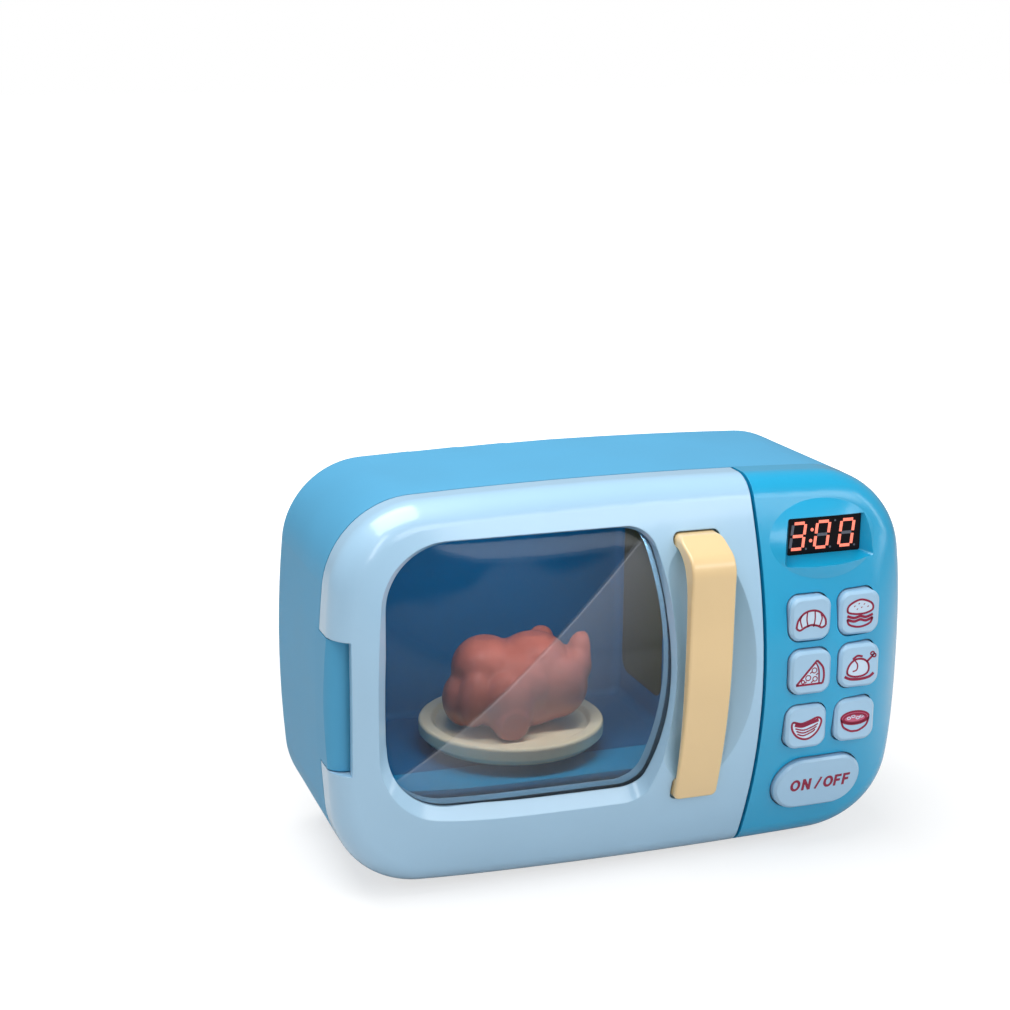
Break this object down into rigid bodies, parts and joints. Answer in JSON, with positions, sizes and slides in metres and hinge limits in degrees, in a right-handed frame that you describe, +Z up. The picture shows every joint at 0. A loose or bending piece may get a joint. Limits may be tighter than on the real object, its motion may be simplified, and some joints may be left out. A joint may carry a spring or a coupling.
{
  "type": "toy microwave oven",
  "caption": "Toy microwave oven with a hinged windowed door, bowed handle, push buttons, digit display, and a driven turntable holding a toy roast chicken.",
  "frame": {"origin": "on the floor under the middle of the toy's overall box", "axes": "+X to the right seen from the front, -Y out of the door and buttons, +Z up"},
  "size_m": [0.28, 0.1399, 0.185],
  "materials": {
    "case_blue": "smooth moulded plastic, satin gloss",
    "panel_blue": "smooth moulded plastic, satin gloss",
    "door_pale_blue": "smooth moulded plastic, satin gloss",
    "door_inside": "fine spark-eroded texture",
    "cavity_blue": "fine spark-eroded texture",
    "button_pale": "smooth moulded plastic",
    "handle_cream": "smooth moulded plastic",
    "pane": "clear polystyrene, polished",
    "amber": "tinted translucent plastic",
    "plate_cream": "smooth moulded plastic",
    "roast_brown": "soft sheen moulded plastic",
    "display_black": "polished",
    "board_green": "solder mask",
    "switch_black": "fine grain",
    "speaker_black": "paper and pressed steel",
    "motor_steel": "drawn steel can",
    "zinc_screw": "zinc plated",
    "contact_steel": "nickel plated",
    "cell_jacket": "plain printed jacket, no marks",
    "gear_white": "acetal",
    "frame_grey": "fine grain",
    "led_clear": "polished epoxy",
    "foot_rubber": "soft matt"
  },
  "bodies": {
    "oven": {"rear_housing": "case_blue", "front_bezel": "panel_blue", "cavity_liner": "cavity_blue", "light_cover": "amber", "cavity_led": "led_clear", "hinge_pin": "zinc_screw", "display_module": "display_black", "control_board": "board_green", "tact_switches": "switch_black", "speaker": "speaker_black", "battery_cells": "cell_jacket", "battery_contacts": "contact_steel", "battery_cover": "case_blue", "cover_screw": "zinc_screw", "housing_screws": "zinc_screw", "board_screws": "zinc_screw", "liner_screws": "zinc_screw", "idler_axle": "zinc_screw", "drive_motor": "motor_steel", "gear_frame_top": "frame_grey", "gear_frame_base": "frame_grey", "gear_frame_screws": "zinc_screw", "feet": "foot_rubber"},
    "door": {"door_frame": "door_pale_blue", "door_inner_frame": "door_inside", "window_pane": "pane", "door_handle": "handle_cream", "door_screws": "zinc_screw", "handle_screws": "zinc_screw"},
    "hub": {"drive_hub": "gear_white", "output_gear": "gear_white"},
    "idler": {"idler_gear": "gear_white"},
    "motor_rotor": {"motor_pinion": "gear_white", "motor_shaft": "zinc_screw"},
    "plate": {"turntable_plate": "plate_cream"},
    "chicken": {"toy_chicken": "roast_brown"},
    "start": {"start_button": "button_pale"},
    "button_1": {"food_button_1": "button_pale"},
    "button_2": {"food_button_2": "button_pale"},
    "button_3": {"food_button_3": "button_pale"},
    "button_4": {"food_button_4": "button_pale"},
    "button_5": {"food_button_5": "button_pale"},
    "button_6": {"food_button_6": "button_pale"}
  },
  "joints": [
    {"name": "door_hinge", "type": "hinge", "parent": "oven", "child": "door", "pos_m": [-0.131, -0.02775, 0.094], "axis": [0, 0, -1], "range_deg": [0, 100]},
    {"name": "turntable_spin", "type": "hinge", "parent": "oven", "child": "hub", "pos_m": [-0.0392, 0.00925, 0.049], "axis": [0, 0, 1], "continuous": true},
    {"name": "idler_spin", "type": "hinge", "parent": "oven", "child": "idler", "pos_m": [-0.0162, 0.00925, 0.036], "axis": [0, 0, 1], "continuous": true},
    {"name": "motor_spin", "type": "hinge", "parent": "oven", "child": "motor_rotor", "pos_m": [0.0048, 0.00925, 0.034], "axis": [0, 0, 1], "continuous": true},
    {"name": "plate_lift", "type": "slide", "parent": "hub", "child": "plate", "axis": [0, 0, 1], "range_m": [0, 0.03]},
    {"name": "chicken_lift", "type": "slide", "parent": "plate", "child": "chicken", "axis": [0, 0, 1], "range_m": [0, 0.025]},
    {"name": "button_1_press", "type": "slide", "parent": "oven", "child": "button_1", "axis": [0, 1, 0], "range_m": [0, 0.001], "stiffness_N_per_m": 900, "springref_m": -0.0008},
    {"name": "button_2_press", "type": "slide", "parent": "oven", "child": "button_2", "axis": [0, 1, 0], "range_m": [0, 0.001], "stiffness_N_per_m": 900, "springref_m": -0.0008},
    {"name": "button_3_press", "type": "slide", "parent": "oven", "child": "button_3", "axis": [0, 1, 0], "range_m": [0, 0.001], "stiffness_N_per_m": 900, "springref_m": -0.0008},
    {"name": "button_4_press", "type": "slide", "parent": "oven", "child": "button_4", "axis": [0, 1, 0], "range_m": [0, 0.001], "stiffness_N_per_m": 900, "springref_m": -0.0008},
    {"name": "button_5_press", "type": "slide", "parent": "oven", "child": "button_5", "axis": [0, 1, 0], "range_m": [0, 0.001], "stiffness_N_per_m": 900, "springref_m": -0.0008},
    {"name": "button_6_press", "type": "slide", "parent": "oven", "child": "button_6", "axis": [0, 1, 0], "range_m": [0, 0.001], "stiffness_N_per_m": 900, "springref_m": -0.0008},
    {"name": "start_press", "type": "slide", "parent": "oven", "child": "start", "axis": [0, 1, 0], "range_m": [0, 0.001], "stiffness_N_per_m": 900, "springref_m": -0.0008}
  ],
  "couplings": [
    {"joint": "idler_spin", "follows": "turntable_spin", "ratio": -3.6},
    {"joint": "motor_spin", "follows": "turntable_spin", "ratio": 11.52}
  ]
}
